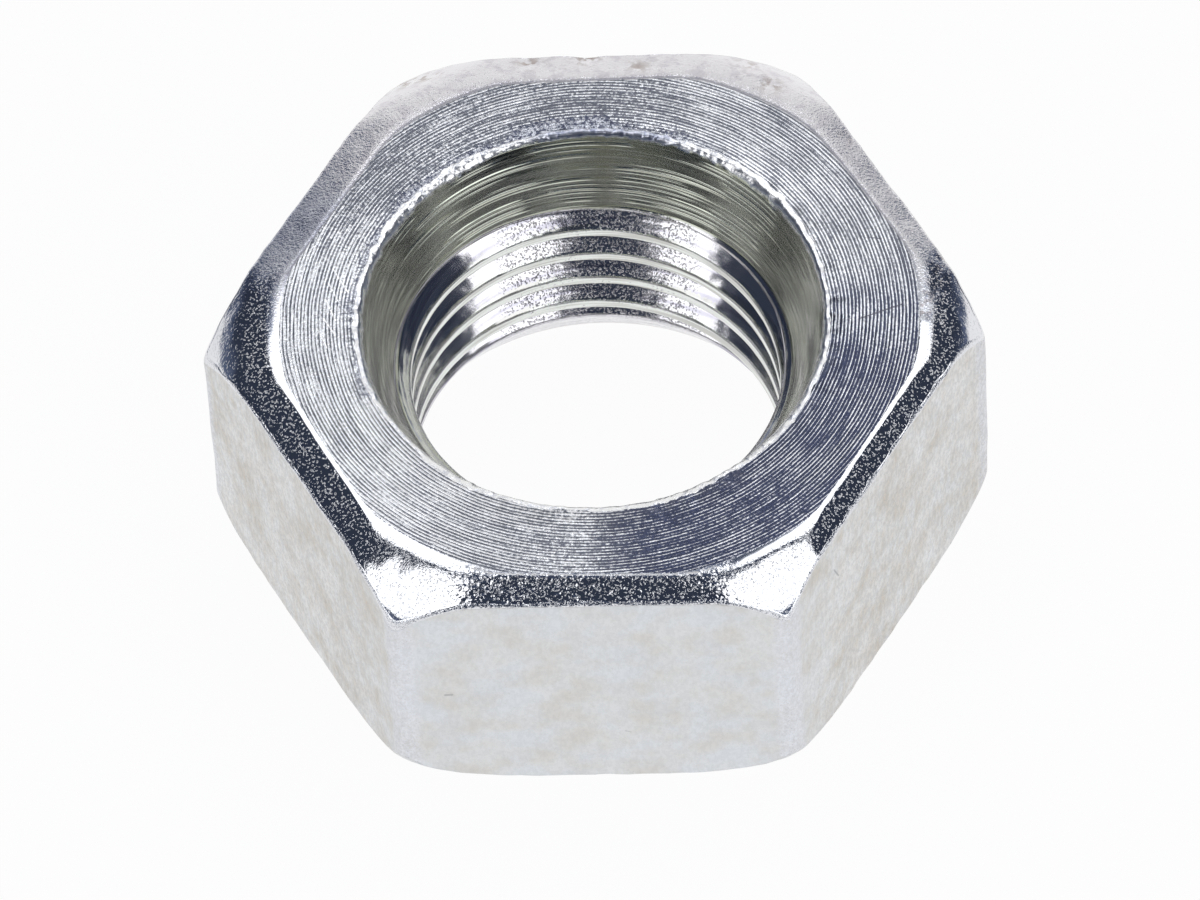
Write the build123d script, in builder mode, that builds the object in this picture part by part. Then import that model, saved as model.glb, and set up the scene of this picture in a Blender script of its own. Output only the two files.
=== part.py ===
"""Hexagon nut forged from one blank, with a turned seating face, a deep recess and a tapped hole.

Millimetres, +Z up. The nut lies flat: the origin is on the axis of the hole, in the plane of
the underside. +Z leaves through the turned face, and +X passes through a corner.
"""

from build123d import *

import os
from math import cos, radians, tan

os.makedirs("parts", exist_ok=True)

# Hexagonal bar
across_flats = 17.0
height = 7.8
corner_round = 0.4  # upright edge between two flats

# Forged shoulder: a dome over the corners and a plain slope along the top of each flat
dome_inset = 0.6  # from the middle of a flat inwards to the circle where the dome starts
dome_radius = 2.9
dome_drop = 1.45  # depth of the tip of each corner below the turned face
slope_inset = 1.05  # from a flat inwards to where its slope meets the turned face
slope_drop = 0.45  # from the turned face down to the top edge of a flat
shoulder_round = 0.2  # edges above and below the shoulder

# Forged underside
foot_inset = 1.25  # from the tip of a corner inwards to where its lower end starts to round off
foot_rise = 0.95  # height of the tip of each corner above the underside
foot_radius = 1.4

# Hole
bore_diameter = 9.1  # over the crests of the thread
recess_diameter = 11.6  # mouth of the recess in the turned face
recess_angle = 60.0
lead_in_diameter = 10.8  # mouth of the lead-in from below
lead_in_angle = 60.0
rim_round = 0.12  # worn lip round the recess

# Worked out from the sizes above
flat_radius = across_flats / 2
corner_radius = flat_radius / cos(radians(30))
slope_foot = height - slope_drop
bore_radius = bore_diameter / 2
recess_radius = recess_diameter / 2
lead_in_radius = lead_in_diameter / 2
recess_floor = height - (recess_radius - bore_radius) / tan(radians(recess_angle / 2))
lead_in_top = (lead_in_radius - bore_radius) / tan(radians(lead_in_angle / 2))

# Sloped margins: a hexagon that leans in above the flats
with BuildPart() as margins:
    with BuildSketch():
        RegularPolygon(flat_radius, 6, major_radius=False)
    extrude(amount=slope_foot)
    with BuildSketch(Plane.XY.offset(slope_foot)):
        RegularPolygon(flat_radius, 6, major_radius=False)
    with BuildSketch(Plane.XY.offset(height)):
        RegularPolygon(flat_radius - slope_inset, 6, major_radius=False)
    loft()

with BuildPart() as nut:
    # Bar with rounded upright edges
    with BuildSketch() as bar:
        RegularPolygon(flat_radius, 6, major_radius=False)
        fillet(bar.vertices(), corner_round)
    extrude(amount=height)
    add(margins.part, mode=Mode.INTERSECT)

    # Die form turned about the axis: dome over the upper corners, rounded lower corners
    with BuildSketch(Plane.YZ):
        with BuildLine():
            dome_start = (flat_radius - dome_inset, height)
            dome_end = (corner_radius, height - dome_drop)
            foot_start = (corner_radius - foot_inset, 0)
            foot_end = (corner_radius, foot_rise)
            Polyline((0, 0), (0, height), dome_start)
            RadiusArc(dome_start, dome_end, dome_radius)
            Line(dome_end, foot_end)
            RadiusArc(foot_end, foot_start, foot_radius)
            Line(foot_start, (0, 0))
        make_face()
    revolve(axis=Axis.Z, mode=Mode.INTERSECT)

    # Soft edges round the turned face and along the top of the flats and upright edges
    turned_face = nut.faces().sort_by(Axis.Z)[-1]
    sides = nut.faces().filter_by(lambda face: abs(face.normal_at().Z) < 0.01)
    crown = sides.edges().filter_by(Axis.Z, reverse=True)
    crown = crown.filter_by(lambda edge: edge.center().Z > height / 2)
    fillet(turned_face.edges() + crown, shoulder_round)

    # Hole: recess from above, wall over the crests of the thread, lead-in from below
    with BuildSketch(Plane.YZ):
        with BuildLine():
            Polyline(
                (0, 0),
                (lead_in_radius, 0),
                (bore_radius, lead_in_top),
                (bore_radius, recess_floor),
                (recess_radius, height),
                (0, height),
                close=True,
            )
        make_face()
    revolve(axis=Axis.Z, mode=Mode.SUBTRACT)
    mouth = nut.faces().sort_by(Axis.Z)[-1].inner_wires()
    fillet(mouth.edges(), rim_round)

nut.part.label = "hex_nut"
export_step(nut.part, "parts/hex_nut.step")
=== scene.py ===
import math

import bpy
import numpy as np
from bpy.props import FloatProperty, FloatVectorProperty, IntProperty, PointerProperty
from mathutils import Matrix, Vector


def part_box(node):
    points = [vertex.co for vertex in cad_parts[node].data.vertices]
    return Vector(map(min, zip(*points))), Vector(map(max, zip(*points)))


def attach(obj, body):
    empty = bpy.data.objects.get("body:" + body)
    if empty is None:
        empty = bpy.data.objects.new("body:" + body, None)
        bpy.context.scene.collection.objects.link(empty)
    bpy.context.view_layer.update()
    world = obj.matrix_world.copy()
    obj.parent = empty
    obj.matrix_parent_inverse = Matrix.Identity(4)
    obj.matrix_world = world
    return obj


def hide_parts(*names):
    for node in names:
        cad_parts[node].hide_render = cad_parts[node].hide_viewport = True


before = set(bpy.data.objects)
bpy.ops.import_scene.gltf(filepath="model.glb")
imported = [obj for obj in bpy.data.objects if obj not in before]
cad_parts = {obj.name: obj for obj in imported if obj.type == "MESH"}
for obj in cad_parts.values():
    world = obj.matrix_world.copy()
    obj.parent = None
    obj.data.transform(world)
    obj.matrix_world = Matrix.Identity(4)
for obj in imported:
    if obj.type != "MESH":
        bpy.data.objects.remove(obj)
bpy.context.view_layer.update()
NODE_LOW, NODE_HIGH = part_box("hex_nut")

bl_info = {
    "name": "Forged hexagon nut",
    "version": (1, 0, 0),
    "blender": (4, 5, 0),
    "location": "3D View > Sidebar > Hexagon nut",
    "description": "Zinc-plated hexagon nut with a turned face, a recess and a fine thread, on a white floor",
    "category": "Add Mesh",
}

MM = 0.001
TURN = 2 * math.pi
COS30 = math.cos(math.radians(30))


# Properties

def length(name, description, millimetres):
    return FloatProperty(name=name, description=description, default=millimetres * MM, unit="LENGTH", precision=5)


def colour(name, description, red, green, blue):
    return FloatVectorProperty(name=name, description=description, default=(red, green, blue), subtype="COLOR",
                               size=3, min=0.0, max=1.0)


def share(name, description, value):
    return FloatProperty(name=name, description=description, default=value, min=0.0, max=1.0, subtype="FACTOR")


class NutSizes(bpy.types.PropertyGroup):
    """Sizes of the nut; the outer ones come from the frame."""
    across_flats: length("Across flats", "Width from flat to flat", (NODE_HIGH.y - NODE_LOW.y) / MM)
    height: length("Height", "From the underside to the turned face", (NODE_HIGH.z - NODE_LOW.z) / MM)
    corner_round: length("Corner rounding", "Radius of the upright edges", 0.4)
    dome_inset: length("Dome inset", "From a flat inwards to the circle where the dome starts", 0.35)
    dome_radius: length("Dome radius", "Radius of the dome's section", 2.9)
    dome_drop: length("Dome drop", "Depth of a corner's tip below the turned face", 1.45)
    slope_inset: length("Slope inset", "From a flat inwards to the turned face", 0.76)
    slope_drop: length("Slope drop", "From the turned face down to the top of a flat", 0.45)
    foot_inset: length("Foot inset", "From a corner inwards to where its lower end rounds off", 1.25)
    foot_rise: length("Foot rise", "Height of a corner's tip above the underside", 0.95)
    foot_radius: length("Foot radius", "Radius of the foot's section", 1.4)
    crest_radius: length("Crest radius", "From the axis to the crests of the thread", 4.62)
    root_radius: length("Root radius", "From the axis to the roots of the thread", 5.05)
    pitch: length("Pitch", "Rise of the thread in one turn", 1.0)
    recess_radius: length("Recess radius", "Mouth of the recess", 5.8)
    recess_taper: length("Recess taper", "How much the radius of the recess narrows over a depth of 1 mm", 0.42)
    recess_depth: length("Recess depth", "From the turned face down to the floor of the recess", 2.0)
    lead_in_radius: length("Lead-in radius", "Mouth of the lead-in from below", 5.6)
    lip_width: length("Lip width", "Broken edge round the recess", 0.18)
    around: IntProperty(name="Steps around", description="Grid steps round the axis", default=492, min=60)


class NutFinish(bpy.types.PropertyGroup):
    """Colours and gloss of the zinc plate."""
    turned: colour("Turned face", "Turned seating face", 0.90, 0.91, 0.93)
    # Painted shade: the dark colour that the turned face takes in its grooves
    groove: colour("Grooves", "Bottoms of the turned grooves", 0.15, 0.16, 0.19)
    shoulder: colour("Shoulder", "Forged shoulder", 0.77, 0.78, 0.81)
    flats: colour("Flats", "Satin flats", 0.75, 0.76, 0.77)
    stain: colour("Stain", "Yellowish and brownish patches", 0.62, 0.56, 0.48)
    # Olive tint of the recess wall, darkened as painted shade of the recess
    recess: colour("Recess", "Wall of the recess", 0.43, 0.44, 0.375)
    crest: colour("Crests", "Crests of the thread", 0.80, 0.83, 0.80)
    flank: colour("Flanks", "Flanks and roots of the thread", 0.78, 0.77, 0.80)
    gloss_shoulder: share("Shoulder roughness", "Roughness of the shoulder", 0.08)
    gloss_turned: share("Turned roughness", "Roughness of the turned face", 0.26)
    gloss_flats: share("Flat roughness", "Roughness of the flats", 0.42)


class StageLook(bpy.types.PropertyGroup):
    """White floor, surroundings and camera."""
    floor: colour("Floor", "Colour of the floor", 0.92, 0.92, 0.92)
    lens: FloatProperty(name="Lens", description="Focal length on a 36 mm sensor", default=402.0, unit="CAMERA")
    distance: length("Distance", "Camera to the middle of the turned face", 333.7)


# Shape of the nut, in millimetres

def millimetres(sizes):
    """The sizes as plain numbers in millimetres."""
    values = {name: getattr(sizes, name) for name in NutSizes.__annotations__}
    return type("Sizes", (), {name: v if isinstance(v, int) else v / MM for name, v in values.items()})


def soft_max(values, sharpness):
    """Maximum along the first axis with its creases rounded: log of the sum of exponentials over the sharpness."""
    top = values.max(0)
    return top + np.log(np.exp(sharpness * (values - top)).sum(0)) / sharpness


def soft_min(values, sharpness):
    """Minimum with rounded creases: the soft maximum of the negatives, negated."""
    return -soft_max(-values, sharpness)


# Turned face against the forging: how far its border is moved over, and in which direction
FACE_SHIFT, FACE_TURN = 0.23, math.radians(317)
# Where the forged shoulder stands highest, and how much higher at the corners and along the flats
LIFT_TURN, LIFT_CORNER, LIFT_FLAT = math.radians(60), 0.27, 0.15
# Angle of each flat's normal, and how far that forged flat stands out of the true hexagon
FLAT_ANGLES = np.radians([30, 90, 150, 210, 270, 330])
FLAT_OFFSETS = np.array([0.09, 0.03, -0.02, 0.05, 0.0, -0.04])
# Sharpness of the rounded creases where surfaces meet
SHOULDER_CREASE, CREST_CREASE, ROOT_CREASE, FLOOR_CREASE, HOLE_CREASE = 32.0, 24.0, 22.0, 60.0, 45.0
# Thread: where it starts, and between which shares of its triangle wave the flank rises
THREAD_START, FLANK_FOOT, FLANK_TOP = 0.11, 0.27, 0.94
LEAD_IN_SLOPE = math.tan(math.radians(30))
# Rounded mouth of the lead-in, top of the rows of the thread, and inner end of the rows of the foot
MOUTH_ROUND, THREAD_TOP, FOOT_END = 0.12, 6.1, 8.2
# Broken lip: wavelength, seed and share of each ripple in its width
LIP_RIPPLES = ((0.3, 6, 0.10), (0.7, 3, 0.12), (2.6, 4, 0.2))
# How far the forged skin lies in from the ideal form, and the depth at which a knock is fully dark
SKIN_DEPTH, DARK_DEPTH = 0.012, 0.05


def flat_distance(x, y, s):
    """Distance outwards from the hexagon: soft maximum over the flats of (normal . point - flat radius)."""
    shape = (6,) + (1,) * np.ndim(x)
    angle, offset = FLAT_ANGLES.reshape(shape), FLAT_OFFSETS.reshape(shape)
    sharpness = math.log(2) / (s.corner_round * (1 - COS30))
    return soft_max(np.cos(angle) * x + np.sin(angle) * y - s.across_flats / 2 - offset, sharpness)


def corner_radius(s):
    """Radius of the hexagon's corners: flat radius over the cosine of 30 degrees."""
    return s.across_flats / 2 / COS30


def outline_radius(theta, s):
    """Radius of the rounded hexagon in direction theta: Newton steps on the distance along the ray."""
    c, d, step = np.cos(theta), np.sin(theta), 1e-4
    radius = np.full_like(theta, s.across_flats / 2)
    for _ in range(12):
        here = flat_distance(radius * c, radius * d, s)
        slope = (flat_distance((radius + step) * c, (radius + step) * d, s) - here) / step
        radius = radius - here / slope
    return radius


def arc_centre(start, end, radius):
    """Centre of the arc of that radius from start to end, on the right of the way from start to end."""
    (r0, z0), (r1, z1) = start, end
    half = math.hypot(r1 - r0, z1 - z0) / 2
    reach = math.sqrt(radius ** 2 - half ** 2) / (2 * half)
    return (r0 + r1) / 2 + (z1 - z0) * reach, (z0 + z1) / 2 - (r1 - r0) * reach


def shoulder_height(r, theta, s):
    """Height of the top: soft minimum of the turned face, a plane sloping down to each flat, and the dome.

    Slope and dome are stretched between their outer edge and their inner edge, which is moved over
    with the border of the turned face. Their outer edge is lifted on one side of the nut.
    """
    corner = corner_radius(s)
    start = s.across_flats / 2 - s.dome_inset
    r_mid, z_mid = arc_centre((start, s.height), (corner, s.height - s.dome_drop), s.dome_radius)
    shift = FACE_SHIFT * np.cos(theta - FACE_TURN)
    stretched = corner - (corner - r) * (corner - start) / (corner - start - shift)
    lean = (start - r_mid) / (s.height - z_mid)
    dome = np.where(stretched < start, s.height + lean * (start - stretched),
                    z_mid + np.sqrt(s.dome_radius ** 2 - np.clip(stretched - r_mid, 0, s.dome_radius * 0.999) ** 2))
    lift = (0.5 + 0.5 * np.cos(theta - LIFT_TURN)) ** 2
    dome = dome + LIFT_CORNER * lift * np.clip((stretched - start) / (corner - start), 0, 1)
    inwards = -flat_distance(r * np.cos(theta), r * np.sin(theta), s)
    slope = s.height - (s.slope_drop - LIFT_FLAT * lift) * (1 - inwards / (s.slope_inset - shift))
    return soft_min(np.stack([np.full_like(dome, s.height), slope, dome]), SHOULDER_CREASE)


def foot_height(r, s):
    """Height of the bottom: the underside, then an arc that lifts the lower ends of the corners."""
    corner = corner_radius(s)
    r_mid, z_mid = arc_centre((corner, s.foot_rise), (corner - s.foot_inset, 0.0), s.foot_radius)
    arc = z_mid - np.sqrt(s.foot_radius ** 2 - np.clip(r - r_mid, 0, s.foot_radius * 0.999) ** 2)
    return np.maximum(arc, 0.0)


def hole_radius(theta, z, s):
    """Radius of the hole: soft maximum of the thread, the recess with its sloping floor, and the lead-in cone.

    The thread is a clipped triangle wave of height over pitch minus angle over one turn, between
    the crest radius and the root radius.
    """
    wave = 1 - np.abs(2 * ((z / s.pitch - theta / TURN + THREAD_START) % 1.0) - 1)
    flank = (wave - FLANK_FOOT) / (FLANK_TOP - FLANK_FOOT)
    form = soft_max(np.stack([flank, np.zeros_like(flank)]), CREST_CREASE)
    form = soft_min(np.stack([form, np.ones_like(flank)]), ROOT_CREASE)
    thread = s.crest_radius + (s.root_radius - s.crest_radius) * form
    wall = s.recess_radius - (s.height - z) * s.recess_taper
    floor = s.recess_radius - s.recess_depth * s.recess_taper + 2 * (z - s.height + s.recess_depth)
    recess = soft_min(np.stack([wall, floor]), FLOOR_CREASE)
    lead_in = s.lead_in_radius - z * LEAD_IN_SLOPE
    return soft_max(np.stack([thread, recess, lead_in]), HOLE_CREASE)


def ripple(points, wavelength, seed, count=28):
    """Smooth noise of about unit size: a sum of sine waves with random directions and phases."""
    random = np.random.default_rng(seed)
    way = random.normal(size=(3, count))
    way /= np.linalg.norm(way, axis=0)
    way *= TURN / wavelength * random.uniform(0.6, 1.7, count)
    return np.sin(points @ way + random.uniform(0, TURN, count)).sum(-1) * math.sqrt(2 / count)


def bend(start, corner, end, steps):
    """Rows of a quadratic curve from start over corner to end, without its first point."""
    t = np.linspace(0, 1, steps + 1)[1:, None]
    return tuple((1 - t) ** 2 * a + 2 * t * (1 - t) * b + t ** 2 * c for a, b, c in zip(start, corner, end))


def run(first, last, steps):
    """Rows of evenly spaced values from first to last, without the first."""
    return first + (last - first) * np.linspace(0, 1, steps + 1)[1:, None]


def nut_rows(s):
    """Radius and height of every row of the closed section, from the lead-in up the hole and round the outside.

    Each part of the section is a run of rows, named for the zone of the finish that it has. The steps
    round the axis are closer at the corners: even steps less a sine of six times the angle.
    """
    step = np.arange(s.around) / s.around * TURN
    theta = step - 0.6 / 6 * np.sin(6 * step)
    one = np.ones_like(theta)
    edge = np.stack([np.cos(theta), np.sin(theta), 0 * theta], -1)
    outer = outline_radius(theta, s)
    rows = []

    def put(zone, radius, height):
        radius, height = np.broadcast_arrays(radius, height)
        rows.append((zone, radius, height))

    # Hole: lead-in, thread, recess and lip
    low = MOUTH_ROUND * 0.9
    put("lead_in", *bend(((s.lead_in_radius + MOUTH_ROUND) * one, 0 * one), (s.lead_in_radius * one, 0 * one),
                         (hole_radius(theta, low * one, s), low * one), 3))
    z = np.concatenate([run(low, 1.0, 5), run(1.0, THREAD_TOP, 106)]) * one
    put("thread", hole_radius(theta, z, s), z)
    burr = sum(ripple(edge * s.recess_radius, size, seed) * part for size, seed, part in LIP_RIPPLES)
    lip = s.lip_width * np.clip(1 + burr, 0.45, 1.9)
    lip_z = s.height - lip * 0.85
    z = np.concatenate([run(THREAD_TOP * one, lip_z - 0.03, 8), [lip_z - 0.01]])
    put("recess", hole_radius(theta, z, s), z)
    lip_r = s.recess_radius + lip * 0.75
    put("lip", *bend((hole_radius(theta, lip_z, s), lip_z), ((s.recess_radius - 0.01) * one, (s.height + 0.02) * one),
                     (lip_r, s.height * one), 6))

    # Top: turned face, shoulder and the rounded edge above the flats
    near = s.across_flats / 2 - s.slope_inset - 0.5 + FACE_SHIFT * np.cos(theta - FACE_TURN)
    r = np.concatenate([[lip_r + 0.03], run(lip_r + 0.03, near, 2)])
    put("turned", r, shoulder_height(r, theta, s))
    soft = 0.09 + 0.02 * ripple(edge * 9, 0.8, 5)
    r = run(near, outer - soft, 33)
    put("shoulder", r, shoulder_height(r, theta, s))
    top = shoulder_height(outer, theta, s)
    r, z = bend((outer - soft, shoulder_height(outer - soft, theta, s)), (outer, top), (outer, top - soft), 5)
    put("edge", r[:3], z[:3])
    put("flat", r[3:], z[3:])

    # Flats, foot and underside
    low = foot_height(outer, s)
    z = np.concatenate([[top - soft - 0.02], run(top - soft - 0.02, low + soft, 12)])
    put("flat", outer, z)
    inner = outer - soft
    put("foot", *bend((outer, low + soft), (outer, low), (inner, foot_height(inner, s)), 4))
    r = run(inner, FOOT_END * one, 8)
    put("foot", r, foot_height(r, s))
    r = run(FOOT_END * one, (s.lead_in_radius + MOUTH_ROUND) * one, 4)
    put("underside", r, 0 * r)
    zone = np.concatenate([np.full(len(a[1]), a[0]) for a in rows])
    radius = np.concatenate([a[1] for a in rows])
    height = np.concatenate([a[2] for a in rows])
    return theta, zone, radius, height


# Knocks from handling: middle in millimetres, reach and depth
DENTS = np.array([
    [-4.73, 8.05, 6.95, 0.35, 0.06], [-4.15, 8.05, 7.20, 0.25, 0.05], [-1.64, 8.22, 7.42, 0.28, 0.05],
    [-0.17, 8.36, 7.39, 0.28, 0.06], [1.12, 7.95, 7.58, 0.25, 0.04], [3.82, 8.10, 7.25, 0.28, 0.05],
    [4.45, 7.29, 7.55, 0.30, 0.04], [6.30, 5.60, 7.40, 0.22, 0.04], [-5.90, 6.90, 7.00, 0.25, 0.04],
])
# Knocks drawn out into a line: both ends, half width and depth
SCARS = np.array([[8.62, 1.75, 7.38, 8.22, 0.00, 7.60, 0.20, 0.07]])
# Scratches: both ends, half width, and how strongly they show light (above 0) or dark (below 0)
SCRATCHES = (
    ((6.69, -0.17, 7.8), (7.73, 0.24, 7.8), 0.035, -0.8), ((6.89, 2.35, 7.8), (7.22, 2.28, 7.8), 0.025, -0.8),
    ((-6.49, 1.66, 7.8), (-6.11, 0.93, 7.8), 0.030, 1), ((-6.60, 1.24, 7.8), (-6.34, 0.63, 7.8), 0.025, 1),
    ((-6.66, 0.70, 7.8), (-6.40, 0.05, 7.8), 0.035, 1), ((-6.70, 0.12, 7.8), (-6.40, -0.42, 7.8), 0.030, 1),
    ((-6.85, -0.20, 7.8), (-6.60, -0.80, 7.8), 0.025, 1),
    ((-1.25, -7.76, 7.66), (-0.68, -8.29, 7.44), 0.060, 1), ((-2.19, -7.54, 7.75), (-2.01, -7.88, 7.60), 0.060, 1),
    ((0.65, -7.97, 7.57), (0.52, -8.45, 7.36), 0.025, 1),
    ((-3.75, -8.5, 3.65), (-3.60, -8.5, 3.66), 0.060, -0.35), ((0.66, -8.5, 1.95), (0.79, -8.5, 1.89), 0.035, -0.35),
    ((5.94, -6.62, 6.07), (6.04, -6.44, 5.58), 0.035, -0.4), ((-0.15, -8.5, 4.3), (0.25, -8.5, 4.28), 0.020, -0.25),
)


def grid_normals(points):
    """Unit normals of the closed grid: cross product of the differences to the neighbours both ways."""
    along = np.roll(points, -1, 1) - np.roll(points, 1, 1)
    across = np.roll(points, -1, 0) - np.roll(points, 1, 0)
    normal = np.cross(across, along)
    return normal / np.linalg.norm(normal, axis=-1, keepdims=True)


def knocks(points):
    """Depth of the dents and scars: Gaussian bowls about points, and about line segments."""
    away = ((points[..., None, :] - DENTS[:, :3]) ** 2).sum(-1)
    depth = (DENTS[:, 4] * np.exp(-away / DENTS[:, 3] ** 2)).sum(-1)
    start, way = SCARS[:, :3], SCARS[:, 3:6] - SCARS[:, :3]
    part = np.clip(((points[..., None, :] - start) * way).sum(-1) / (way ** 2).sum(-1), 0, 1)
    away = ((points[..., None, :] - start - part[..., None] * way) ** 2).sum(-1)
    return depth + (SCARS[:, 7] * np.exp(-away / SCARS[:, 6] ** 2)).sum(-1)


def nut_surface(s):
    """Points of the closed grid and its zone masks.

    The rows are turned about the axis, then moved along their normals by the knocks, by the forging's
    unevenness and by small ripples on the lip and the thread.
    """
    theta, zone, radius, height = nut_rows(s)
    points = np.stack([radius * np.cos(theta), radius * np.sin(theta), height], -1)
    normal = grid_normals(points)
    masks = {name: (zone == name).astype(float)[:, None] * np.ones_like(radius)
             for name in ("lip", "recess", "thread", "lead_in", "edge", "flat")}
    on_wall = np.clip(1.5 - np.abs(radius - s.recess_radius + (s.height - height) * s.recess_taper) / 0.03, 0, 1)
    on_wall = on_wall * (height > s.height - s.recess_depth - 0.05)
    masks["recess"] = masks["recess"] + masks["thread"] * on_wall
    masks["thread"] = masks["thread"] * (1 - on_wall)
    forged = np.isin(zone, ("shoulder", "edge", "flat", "foot"))[:, None]
    above = np.clip((s.height - 0.004 - points[..., 2]) / 0.10, 0, 1)
    masks["top"] = np.isin(zone, ("turned", "shoulder", "edge"))[:, None] * np.ones_like(radius)
    masks["under"] = np.isin(zone, ("foot", "underside"))[:, None] * np.ones_like(radius)
    masks["knock"] = np.clip(knocks(points) / DARK_DEPTH, 0, 1)
    off_face = forged * np.where((zone == "shoulder")[:, None], above, 1.0)
    uneven = (0.005 + 0.005 * masks["flat"]) * ripple(points, 2.2, 11) + 0.0025 * ripple(points, 0.7, 12)
    shift = -off_face * (knocks(points) + SKIN_DEPTH + uneven)
    shift = shift - (zone == "lip")[:, None] * 0.007 * (1.5 + ripple(points, 0.35, 13))
    shift = shift - masks["thread"] * 0.0015 * (1 + ripple(points * (1, 1, 1.6), 0.45, 14))
    return points + normal * shift[..., None], masks


def closed_mesh(name, points, masks):
    """Mesh of a grid that closes on itself both ways, one quad between four neighbours, masks as attributes."""
    rows, around = points.shape[:2]
    index = np.arange(rows * around).reshape(rows, around)
    below, beside = np.roll(index, -1, 0), np.roll(index, -1, 1)
    quads = np.stack([index, beside, np.roll(below, -1, 1), below], -1).reshape(-1, 4)
    co = points.reshape(-1, 3)
    a, b, c = (co[quads[:, i]] for i in (0, 1, 2))
    if (a * np.cross(b, c)).sum() < 0:
        quads = quads[:, ::-1]
    mesh = bpy.data.meshes.new(name)
    mesh.vertices.add(len(co))
    mesh.vertices.foreach_set("co", (co * MM).astype(np.float32).ravel())
    mesh.loops.add(quads.size)
    mesh.loops.foreach_set("vertex_index", quads.astype(np.int32).ravel())
    mesh.polygons.add(len(quads))
    mesh.polygons.foreach_set("loop_start", np.arange(0, quads.size, 4, dtype=np.int32))
    mesh.polygons.foreach_set("use_smooth", np.ones(len(quads), bool))
    mesh.update(calc_edges=True)
    for key, values in masks.items():
        mesh.attributes.new(key, "FLOAT", "POINT").data.foreach_set("value", values.astype(np.float32).ravel())
    if mesh.validate():
        raise RuntimeError("the nut's mesh had faults")
    return mesh


# Shader maths

class Signal:
    """A node socket that adds Math nodes to its tree when it is used in an expression."""

    def __init__(self, tree, socket=None):
        self.tree, self.socket = tree, socket

    def node(self, kind, settings=None, out=0, **sockets):
        """New node of that type: settings first, then its sockets by name (_ for a space) or by i and a number."""
        made = self.tree.nodes.new(kind)
        for key, value in (settings or {}).items():
            setattr(made, key, value)
        for key, value in sockets.items():
            socket = made.inputs[int(key[1:]) if key[0] == "i" and key[1:].isdigit() else key.replace("_", " ")]
            if isinstance(value, Signal):
                self.tree.links.new(value.socket, socket)
            else:
                socket.default_value = value
        return Signal(self.tree, made.outputs[out] if made.outputs else None)

    def math(self, operation, *values, clamp=False):
        return self.node("ShaderNodeMath", {"operation": operation, "use_clamp": clamp},
                         **{f"i{n}": value for n, value in enumerate(values)})

    def vector(self, operation, *values, out=0):
        return self.node("ShaderNodeVectorMath", {"operation": operation}, out=out,
                         **{f"i{n}": value for n, value in enumerate(values)})

    def __add__(self, other): return self.math("ADD", self, other)
    def __radd__(self, other): return self.math("ADD", other, self)
    def __sub__(self, other): return self.math("SUBTRACT", self, other)
    def __rsub__(self, other): return self.math("SUBTRACT", other, self)
    def __mul__(self, other): return self.math("MULTIPLY", self, other)
    def __rmul__(self, other): return self.math("MULTIPLY", other, self)
    def __truediv__(self, other): return self.math("DIVIDE", self, other)
    def __pow__(self, other): return self.math("POWER", self, other)

    def clip(self, low=0.0, high=1.0):
        """0 at low, 1 at high, a smooth step between."""
        return self.node("ShaderNodeMapRange", {"interpolation_type": "SMOOTHSTEP"}, Value=self, From_Min=low,
                         From_Max=high)

    def mix(self, first, second):
        """Colour between two, with this signal as the factor."""
        return self.node("ShaderNodeMix", {"data_type": "RGBA"}, out=2, i0=self, i6=first, i7=second)

    def noise(self, scale, detail=2.0, roughness=0.5, stretch=(1, 1, 1)):
        """Noise from 0 to 1 over this vector, stretched along its axes."""
        place = self.vector("MULTIPLY", self, stretch)
        return self.node("ShaderNodeTexNoise", Vector=place, Scale=scale, Detail=detail, Roughness=roughness)

    def join(self, x, y, z):
        return self.node("ShaderNodeCombineXYZ", X=x, Y=y, Z=z)

    def parts(self):
        split = self.node("ShaderNodeSeparateXYZ", Vector=self)
        return [Signal(self.tree, split.socket.node.outputs[n]) for n in range(3)]


def tree_of(owner):
    """Empty node tree of a material or world."""
    owner.use_nodes = True
    owner.node_tree.nodes.clear()
    return Signal(owner.node_tree)


def rgba(value):
    return tuple(value) + (1.0,)


def scratch_mask(place, start, end, width):
    """1 on the segment from start to end, 0 beyond the half width: distance to the nearest point of the segment."""
    way = Vector(end) - Vector(start)
    away = place.vector("SUBTRACT", place, start)
    part = place.math("MULTIPLY", place.vector("DOT_PRODUCT", away, way, out=1), 1 / way.length_squared, clamp=True)
    nearest = place.vector("MULTIPLY", place.join(part, part, part), way)
    return 1 - place.vector("DISTANCE", away, nearest, out=1).clip(0.3 * width, width)


# Roughness where a zone has none of its own
GLOSS = 0.20
# Distance between turned grooves on the face, and between lines on the wall of the recess, in millimetres
FEED, COARSE_LINES, FINE_LINES = 0.09, 0.30, 0.115
# Colours that the finish adds to those of the panel
WHITE = (1, 1, 1, 1)
COOL_CLOUD, PALE_CLOUD, PALE_CORNER = (0.74, 0.79, 0.86, 1), (0.88, 0.88, 0.89, 1), (0.82, 0.84, 0.90, 1)
GREY_SPECK, BROWN_SPECK = (0.42, 0.43, 0.44, 1), (0.40, 0.38, 0.37, 1)
BACK_PAINTED_LIGHT, VIOLET_STAIN, BLUE_SHADE = (0.82, 0.80, 0.82, 1), (0.58, 0.55, 0.60, 1), (0.32, 0.35, 0.44, 1)
KNOCK_BROWN, BORDER_PAINTED_SHADE, GROOVE_PAINTED_SHADE = (0.30, 0.23, 0.20, 1), (0.30, 0.30, 0.42, 1), (0.06, 0.07, 0.12, 1)
CHIP_PAINTED_SHADE, CHIP_PAINTED_GLINT, LATHE_LINE_HIGHLIGHT = (0.07, 0.08, 0.13, 1), (0.66, 0.68, 0.74, 1), (0.68, 0.72, 0.64, 1)
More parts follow.
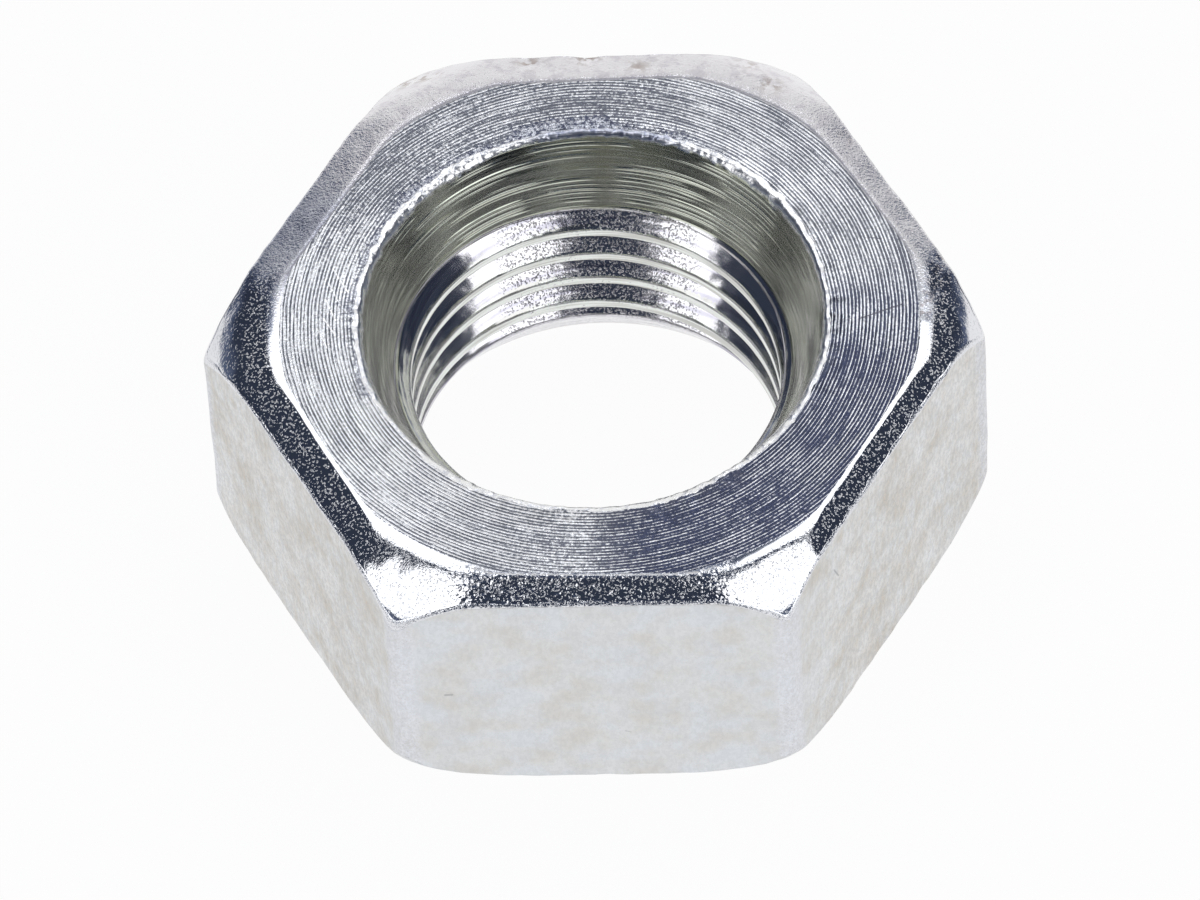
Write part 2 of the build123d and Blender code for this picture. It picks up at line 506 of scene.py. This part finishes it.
FLANK_DARK, CREST_DARK, LEAD_IN_HIGHLIGHT = (0.54, 0.53, 0.60, 1), (0.60, 0.60, 0.58, 1), (0.95, 0.90, 0.91, 1)
LIP_SHADE, DARK_MARK = (0.36, 0.39, 0.52, 1), (0.10, 0.10, 0.13, 1)


def zinc_material(f, s):
    """Zinc plate in millimetre object coordinates: each zone of the surface has its own grooves, grain and stains, and
    several have painted light and shade.
    """
    material = bpy.data.materials.new("zinc_plate")
    t = tree_of(material)
    place = t.node("ShaderNodeVectorMath", {"operation": "SCALE"}, i0=t.node("ShaderNodeTexCoord", out=3), Scale=1 / MM)
    x, y, z = place.parts()
    zone = {name: t.node("ShaderNodeAttribute", {"attribute_name": name}, out=2)
            for name in ("top", "lip", "recess", "thread", "lead_in", "edge", "flat", "under", "knock")}
    radius = (x * x + y * y) ** 0.5
    across, along = x / radius, y / radius

    def towards(degrees, half, fade):
        """1 within half degrees of that direction round the axis, 0 beyond the fade."""
        angle = math.radians(degrees)
        return (across * math.cos(angle) + along * math.sin(angle)).clip(
            math.cos(math.radians(half + fade)), math.cos(math.radians(half)))

    on_face, up_wall = t.join(across, along, radius), t.join(across, along, z)

    def polar(around, outwards, detail=0, roughness=0.6):
        """Noise that runs round the axis: the first number is its fineness round it, the second outwards."""
        return on_face.noise(1.0, detail, roughness, (around, around, outwards))

    def calm(noise):
        """Noise of one octave brought to the spread of two."""
        return 0.135 + 0.73 * noise

    depth = s.height - z
    worn = calm(place.noise(1.1, 0))
    pits = place.noise(13.0, 2, 0.7)
    face = zone["top"] * (1 - (depth + 0.006 * (pits - 0.5)).clip(0.0035, 0.0060))
    shoulder = zone["top"] - face
    satin = zone["flat"] + zone["under"]
    shaded = towards(90, 20, 14)
    messy = towards(118, 40, 14) + towards(285, 22, 14)
    # Side where the turned grooves cut deeper, and where their colour carries painted navy shade
    deep_grooves_and_shade = towards(320, 36, 20)
    # Side of the turned face that is painted paler, as painted light
    painted_light_side = towards(195, 30, 22)
    # Sectors where the lathe lines on the recess wall stand out in the bump and carry painted highlights
    lathe_marks_and_glints = towards(60, 18, 10) + towards(120, 24, 10)
    beaten = towards(118, 46, 14) + 0.8 * towards(190, 12, 8)
    far = along.clip(-0.15, 0.45)
    front = towards(270, 20, 6)

    # Turned grooves: a saw tooth with a gentle outer flank, uneven lines, and chatter where it is messy; then the
    # painted light and shade of their lines
    tooth = t.math("FRACT", radius * (1 / FEED) + 0.4 * worn)
    feed = t.math("MINIMUM", tooth / 0.75, (1 - tooth) / 0.25)
    lines = polar(7, 26, 1, 0.5)
    deep, chatter = calm(polar(1.5, 4.5)), calm(polar(130, 12))
    grooves = (0.75 * feed * (0.75 + 0.5 * deep) * (1 - 0.5 * messy) * (1 + 0.5 * deep_grooves_and_shade) + (lines - 0.5)
               + 1.2 * (pits - 0.5) + 2.0 * messy * (chatter - 0.5)) * (0.75 + 0.5 * worn)
    # Painted light and shade of the turned face: light and dark lines from the saw tooth, darker round 312 and 118
    # degrees, paler on the painted light side
    painted_groove_light = (0.5 + (0.42 + 0.12 * deep_grooves_and_shade - 0.10 * messy) * (feed - 0.5) + 0.55 * (lines - 0.5) + 0.15 * (deep - 0.5)
                   + 0.15 * (worn - 0.5) + (0.45 + 0.2 * messy) * (pits - 0.5) + 0.25 * messy * (chatter - 0.5)
                   - 0.15 * towards(312, 30, 18) + 0.09 * painted_light_side - 0.05 * towards(118, 30, 20) - 0.03).clip(0.38, 0.62)
    marks = [(tone, scratch_mask(place, start, end, width)) for start, end, width, tone in SCRATCHES]
    light_marks = sum((tone * mask for tone, mask in marks if tone > 0), 0.0)
    dark_marks = sum((-tone * mask for tone, mask in marks if tone < 0), 0.0)

    # Chips beside the lip, rings on the wall of the recess, and tool marks along the thread
    chips = place.noise(7.0, 1, 0.7)
    beside_lip = (1 - (radius + 0.9 * (pits - 0.5) + 1.2 * (worn - 0.5)).clip(6.00, 6.20)) * (0.1 + 0.75 * beaten)
    rings = up_wall.noise(1.0, 1, 0.6, (2, 2, 10))
    wander = up_wall.noise(0.85, 0)
    patches = up_wall.noise(1.0, 0, 0.6, (2.5, 2.5, 4))
    sparks = place.noise(16.0, 1, 0.5)
    crest = 1 - (radius + 0.28 * (pits - 0.5) + 0.30 * (rings - 0.5)).clip(s.crest_radius + 0.04,
                                                                           s.crest_radius + 0.10)
    coarse = t.math("SINE", z * (TURN / COARSE_LINES) + 3.7 * wander).clip(0.5, 1.0) * patches.clip(0.36, 0.64)
    fine = t.math("SINE", z * (TURN / FINE_LINES) + 4.5 * wander).clip(0.1, 1.0) * patches.clip(0.39, 0.66)

    # Forged skin: a smooth band next to the turned face, then fine sparkles
    sparkle = sparks.clip(0.59, 0.70)
    beyond = depth.clip(0.025, 0.08) + (front + far) * depth.clip(0.004, 0.02) * (1 - depth.clip(0.025, 0.08))
    inner = 1 - depth.clip(0.10, 0.42)
    skin = beyond * ((0.002 + 0.004 * inner) * pits + (1 - 0.8 * far) * (0.003 + 0.017 * inner) * sparkle
                     + 0.010 * far * pits + 0.028 * front * chips)

    # Flats and underside: satin grain drawn upwards, cloudy patches
    grain = place.noise(3.2, 2, 0.7, (1, 1, 0.7))
    mottle = place.noise(0.85, 2, 0.65)
    cloud = place.noise(0.6, 2, 0.65, (1, 1, 1.3))
    streak = place.noise(5.0, 1, 0.6, (1, 1, 0.35))
    upright = zone["flat"] - zone["flat"] * t.math("ABSOLUTE", along * (3 - 4 * along * along)).clip(0.07, 0.16)

    # Height in millimetres for the bump: what each zone adds
    height = (face * (0.0075 * grooves + 0.014 * beside_lip * chips) + shoulder * skin + zone["edge"] * 0.022 * pits
              + zone["recess"] * ((0.003 + 0.010 * lathe_marks_and_glints) * coarse + (0.0015 + 0.006 * lathe_marks_and_glints) * fine
                                  + 0.005 * rings + 0.001 * pits)
              + satin * (0.008 * pits + 0.013 * grain + 0.02 * upright * pits)
              + zone["lip"] * (0.011 + 0.012 * messy) * chips
              + zone["thread"] * ((0.001 + 0.002 * shaded) * pits + 0.012 * rings
                                  + 0.022 * (1 - crest) * shaded * sparks.clip(0.54, 0.68)))
    bump = t.node("ShaderNodeBump", Strength=1.0, Distance=MM, Height=height)

    # Colour of the flats: stains, cool and warm clouds, pale corners, dark specks, and more of all to the sides
    sides = t.math("ABSOLUTE", x).clip(4.2, 6.5)
    stained = (mottle.clip(0.36, 0.72) * (0.34 + 0.12 * sides) + streak.clip(0.40, 0.72) * (0.08 + 0.22 * sides)
               + grain.clip(0.40, 0.72) * (0.05 + 0.25 * sides))
    flats = stained.mix(rgba(f.flats), rgba(f.stain))
    flats = (cloud.clip(0.38, 0.68) * 0.5).mix(flats, sides.mix(COOL_CLOUD, PALE_CLOUD))
    flats = (upright * (0.35 + 0.5 * pits.clip(0.42, 0.58))).mix(flats, PALE_CORNER)
    specks = place.noise(9.0, 2, 0.75, (1, 1, 0.6)).clip(0.36, 0.64)
    flats = (specks * (0.16 + 0.20 * sides)).mix(flats, GREY_SPECK)
    flats = (pits.clip(0.60, 0.70) * (0.12 + 0.25 * sides + 0.2 * upright)).mix(flats, BROWN_SPECK)

    # Colour of the forging: painted light that makes it paler at the back, faint stains, one blue shade, brown in the
    # knocks
    forged = (far * 0.8).mix(rgba(f.shoulder), BACK_PAINTED_LIGHT)
    stains = place.noise(2.4, 2, 0.7, (1, 1, 2)).clip(0.48, 0.66)
    forged = (far * stains * 0.5).mix(forged, VIOLET_STAIN)
    forged = (towards(166, 10, 16) * far * 0.6).mix(forged, BLUE_SHADE)
    forged = (zone["knock"] * place.noise(3.6, 1, 0.7).clip(0.44, 0.58)).mix(forged, KNOCK_BROWN)
    # A thin line of painted shade along the border of the turned face, at the back
    border = far * depth.clip(0.002, 0.0035) * (1 - depth.clip(0.007, 0.012))
    forged = (border * 0.35).mix(forged, BORDER_PAINTED_SHADE)
    tint = shoulder.mix(flats, forged)

    # Colour of the turned face, the hole and the marks
    # Turned face: painted shade in the grooves, navy on the deep side, between painted light lines
    turned = painted_groove_light.mix(deep_grooves_and_shade.mix(rgba(f.groove), GROOVE_PAINTED_SHADE), rgba(f.turned))
    # Beside the lip: a painted pattern of dark reflections and glints over the chipped face
    tint = face.mix(tint, beside_lip.mix(turned, pits.clip(0.40, 0.60).mix(CHIP_PAINTED_SHADE, CHIP_PAINTED_GLINT)))
    # Recess wall: olive, darkened as painted shade of the recess, with darker rings
    wall = (rings + 0.06 * coarse).clip(0.3, 0.7).mix(rgba([c * 0.82 for c in f.recess]), rgba(f.recess))
    # Painted highlights on the lathe lines of the recess wall, round 60 and 120 degrees
    tint = zone["recess"].mix(tint, (lathe_marks_and_glints * (0.2 + 0.8 * fine)).mix(wall, LATHE_LINE_HIGHLIGHT))
    flanks = rings.clip(0.34, 0.54).mix(FLANK_DARK, rgba(f.flank))
    threads = crest.mix(flanks, rings.clip(0.35, 0.60).mix(CREST_DARK, rgba(f.crest)))
    tint = zone["thread"].mix(tint, threads)
    # Lead-in: nearly white, a painted highlight round the lower mouth of the hole
    tint = zone["lead_in"].mix(tint, LEAD_IN_HIGHLIGHT)
    # Lip: white as a painted highlight, dimmed by painted shade that is strongest towards the back and patchy with the
    # chip noise
    shade = towards(88, 12, 10) * 0.6 + 0.3 - 0.3 * chips.clip(0.36, 0.46)
    tint = zone["lip"].mix(tint, shade.mix(WHITE, LIP_SHADE))
    tint = t.math("MINIMUM", light_marks, 1.0).mix(tint, WHITE)
    tint = t.math("MINIMUM", dark_marks, 1.0).mix(tint, DARK_MARK)

    rough = (GLOSS + 0.08 * zone["lip"] - 0.06 * zone["thread"] - 0.07 * zone["recess"]
             + shoulder * (f.gloss_shoulder - GLOSS) + face * (f.gloss_turned - GLOSS)
             + satin * (f.gloss_flats - GLOSS + 0.1 * (mottle - 0.5)))
    end = t.node("ShaderNodeBsdfPrincipled", Base_Color=tint, Metallic=1.0, Roughness=rough, Normal=bump)
    t.node("ShaderNodeOutputMaterial", Surface=end)
    return material


# Share of the floor that the camera and reflections see as plain white, and tint of the dim parts of the room
SEEN_WHITE, COOL_ROOM = 0.955, (0.64, 0.81, 1.28, 1)


def floor_material(look):
    """White floor. Camera, glossy and clear rays see it nearly white; its diffuse share keeps the shadow."""
    material = bpy.data.materials.new("white_floor")
    t = tree_of(material)
    rays = t.node("ShaderNodeLightPath").socket.node.outputs
    seen = t.math("ADD", t.math("ADD", Signal(t.tree, rays["Is Camera Ray"]), Signal(t.tree, rays["Is Glossy Ray"])),
                  Signal(t.tree, rays["Is Transmission Ray"]), clamp=True)
    matt = t.node("ShaderNodeBsdfDiffuse", Color=rgba(look.floor))
    white = t.node("ShaderNodeEmission", Color=WHITE, Strength=1.0)
    both = t.node("ShaderNodeMixShader", i0=seen * SEEN_WHITE, i1=matt, i2=white)
    t.node("ShaderNodeOutputMaterial", Surface=both)
    return material


def surroundings(look):
    """World: white for the camera; otherwise a dim room, bright low at the back and half as bright above that."""
    world = bpy.data.worlds.new("studio")
    t = tree_of(world)
    rays = t.node("ShaderNodeLightPath").socket.node.outputs
    way = t.node("ShaderNodeTexCoord", out=0)
    x, y, z = way.parts()
    level = (x * x + y * y) ** 0.5 + 0.001
    back = (y / level).clip(0.79, 0.97)
    room = (0.05 + 0.12 * (1 - z.clip(0.05, 0.25)) + 0.05 * z.clip(0.88, 0.99)
            + back * (0.80 - 0.40 * z.clip(0.62, 0.80) - 0.36 * z.clip(0.81, 0.90)))
    cool = room.clip(0.1, 0.6).mix(COOL_ROOM, WHITE)
    lit = t.node("ShaderNodeBackground", Color=cool, Strength=room)
    white = t.node("ShaderNodeBackground", Color=WHITE, Strength=1.0)
    both = t.node("ShaderNodeMixShader", i0=Signal(t.tree, rays["Is Camera Ray"]), i1=lit, i2=white)
    t.node("ShaderNodeOutputWorld", Surface=both)
    return world


def link(obj):
    bpy.context.scene.collection.objects.link(obj)
    return obj


def soft_box(name, azimuth, elevation, distance, width, tall, radiance):
    """Oblong lamp that faces the nut: azimuth from the front to the right, and elevation, in degrees."""
    lamp = bpy.data.lights.new(name, "AREA")
    lamp.shape, lamp.size, lamp.size_y = "RECTANGLE", width, tall
    lamp.energy = radiance * math.pi * width * tall
    a, e = math.radians(azimuth), math.radians(elevation)
    way = Vector((math.sin(a) * math.cos(e), -math.cos(a) * math.cos(e), math.sin(e)))
    obj = link(bpy.data.objects.new(name, lamp))
    obj.location = way * distance
    obj.rotation_euler = way.to_track_quat("Z", "Y").to_euler()


def ceiling_box(name, middle, size, turn, height, radiance):
    """Oblong lamp overhead that faces straight down; its middle and size are given in shares of its height."""
    lamp = bpy.data.lights.new(name, "AREA")
    lamp.shape, lamp.size, lamp.size_y = "RECTANGLE", size[0] * height, size[1] * height
    lamp.energy = radiance * math.pi * lamp.size * lamp.size_y
    obj = link(bpy.data.objects.new(name, lamp))
    obj.location = (middle[0] * height, middle[1] * height, height)
    obj.rotation_euler = (0, 0, math.radians(turn))


# Camera fitted to the photograph: turn, height above the floor and roll, and how far its aim is below the face's middle
CAMERA_TURN, CAMERA_RISE, CAMERA_ROLL = math.radians(2.92), math.radians(53.92), math.radians(3.38)
AIM_BELOW = 3.308 * MM


def photo_camera(look, height):
    """Camera from the photograph: high above the floor, turned and rolled a little, off centre downwards."""
    turn, rise, roll = CAMERA_TURN, CAMERA_RISE, CAMERA_ROLL
    around = Matrix.Rotation(turn, 3, "Z")
    right = around @ Vector((1, 0, 0))
    up = around @ Vector((0, math.sin(rise), math.cos(rise)))
    ahead = around @ Vector((0, math.cos(rise), -math.sin(rise)))
    x_axis = math.cos(roll) * right - math.sin(roll) * up
    y_axis = math.sin(roll) * right + math.cos(roll) * up
    camera = bpy.data.cameras.new("camera")
    camera.lens, camera.sensor_width, camera.clip_start = look.lens, 36.0, 0.01
    obj = link(bpy.data.objects.new("camera", camera))
    matrix = Matrix((x_axis, y_axis, -ahead)).transposed().to_4x4()
    matrix.translation = Vector((0, 0, height)) - AIM_BELOW * up - look.distance * ahead
    obj.matrix_world = matrix
    bpy.context.scene.camera = obj


# Operators

class HEXNUT_OT_make_nut(bpy.types.Operator):
    """Makes the nut with its thread and zinc plate in place of the plain solid"""
    bl_idname = "hexnut.make_nut"
    bl_label = "Make nut"

    def execute(self, context):
        s = millimetres(context.scene.nut_sizes)
        nut = link(bpy.data.objects.new("threaded_nut", closed_mesh("threaded_nut", *nut_surface(s))))
        nut.data.materials.append(zinc_material(context.scene.nut_finish, s))
        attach(nut, "root")
        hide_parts("hex_nut")
        return {"FINISHED"}


class HEXNUT_OT_make_stage(bpy.types.Operator):
    """Makes the white floor, the light and the camera"""
    bl_idname = "hexnut.make_stage"
    bl_label = "Make stage"

    def execute(self, context):
        look = context.scene.nut_stage
        half, below = 3.0, -1e-5
        corners = [(-half, -half, below), (half, -half, below), (half, half, below), (-half, half, below)]
        mesh = bpy.data.meshes.new("floor")
        mesh.from_pydata(corners, [], [(0, 1, 2, 3)])
        floor = link(bpy.data.objects.new("floor", mesh))
        mesh.materials.append(floor_material(look))
        context.scene.world = surroundings(look)
        soft_box("lamp_front_left", -50, 38, 0.5, 0.21, 0.50, 1.6)
        soft_box("lamp_front_right", 51, 37, 0.5, 0.32, 0.50, 1.6)
        ceiling_box("lamp_left", (-0.325, 0.40), (0.49, 0.76), 0, 0.4, 1.7)
        ceiling_box("lamp_right", (0.49, 0.43), (0.74, 0.72), 12, 0.4, 1.7)
        photo_camera(look, context.scene.nut_sizes.height)
        context.scene.view_settings.view_transform = "Standard"
        return {"FINISHED"}


class HEXNUT_PT_panel(bpy.types.Panel):
    """Sizes, colours and steps of the nut"""
    bl_label = "Hexagon nut"
    bl_space_type = "VIEW_3D"
    bl_region_type = "UI"
    bl_category = "Hexagon nut"

    def draw(self, context):
        for group, operator in (("nut_sizes", "hexnut.make_nut"), ("nut_finish", None),
                                ("nut_stage", "hexnut.make_stage")):
            settings = getattr(context.scene, group)
            for name in type(settings).__annotations__:
                self.layout.prop(settings, name)
            if operator:
                self.layout.operator(operator)


GROUPS = {"nut_sizes": NutSizes, "nut_finish": NutFinish, "nut_stage": StageLook}
CLASSES = (*GROUPS.values(), HEXNUT_OT_make_nut, HEXNUT_OT_make_stage, HEXNUT_PT_panel)


def register():
    for made in CLASSES:
        bpy.utils.register_class(made)
    for name, group in GROUPS.items():
        setattr(bpy.types.Scene, name, PointerProperty(type=group))


def unregister():
    for name in GROUPS:
        delattr(bpy.types.Scene, name)
    for made in reversed(CLASSES):
        bpy.utils.unregister_class(made)


def main():
    register()
    bpy.ops.hexnut.make_stage()
    bpy.ops.hexnut.make_nut()


if __name__ == "__main__":
    main()
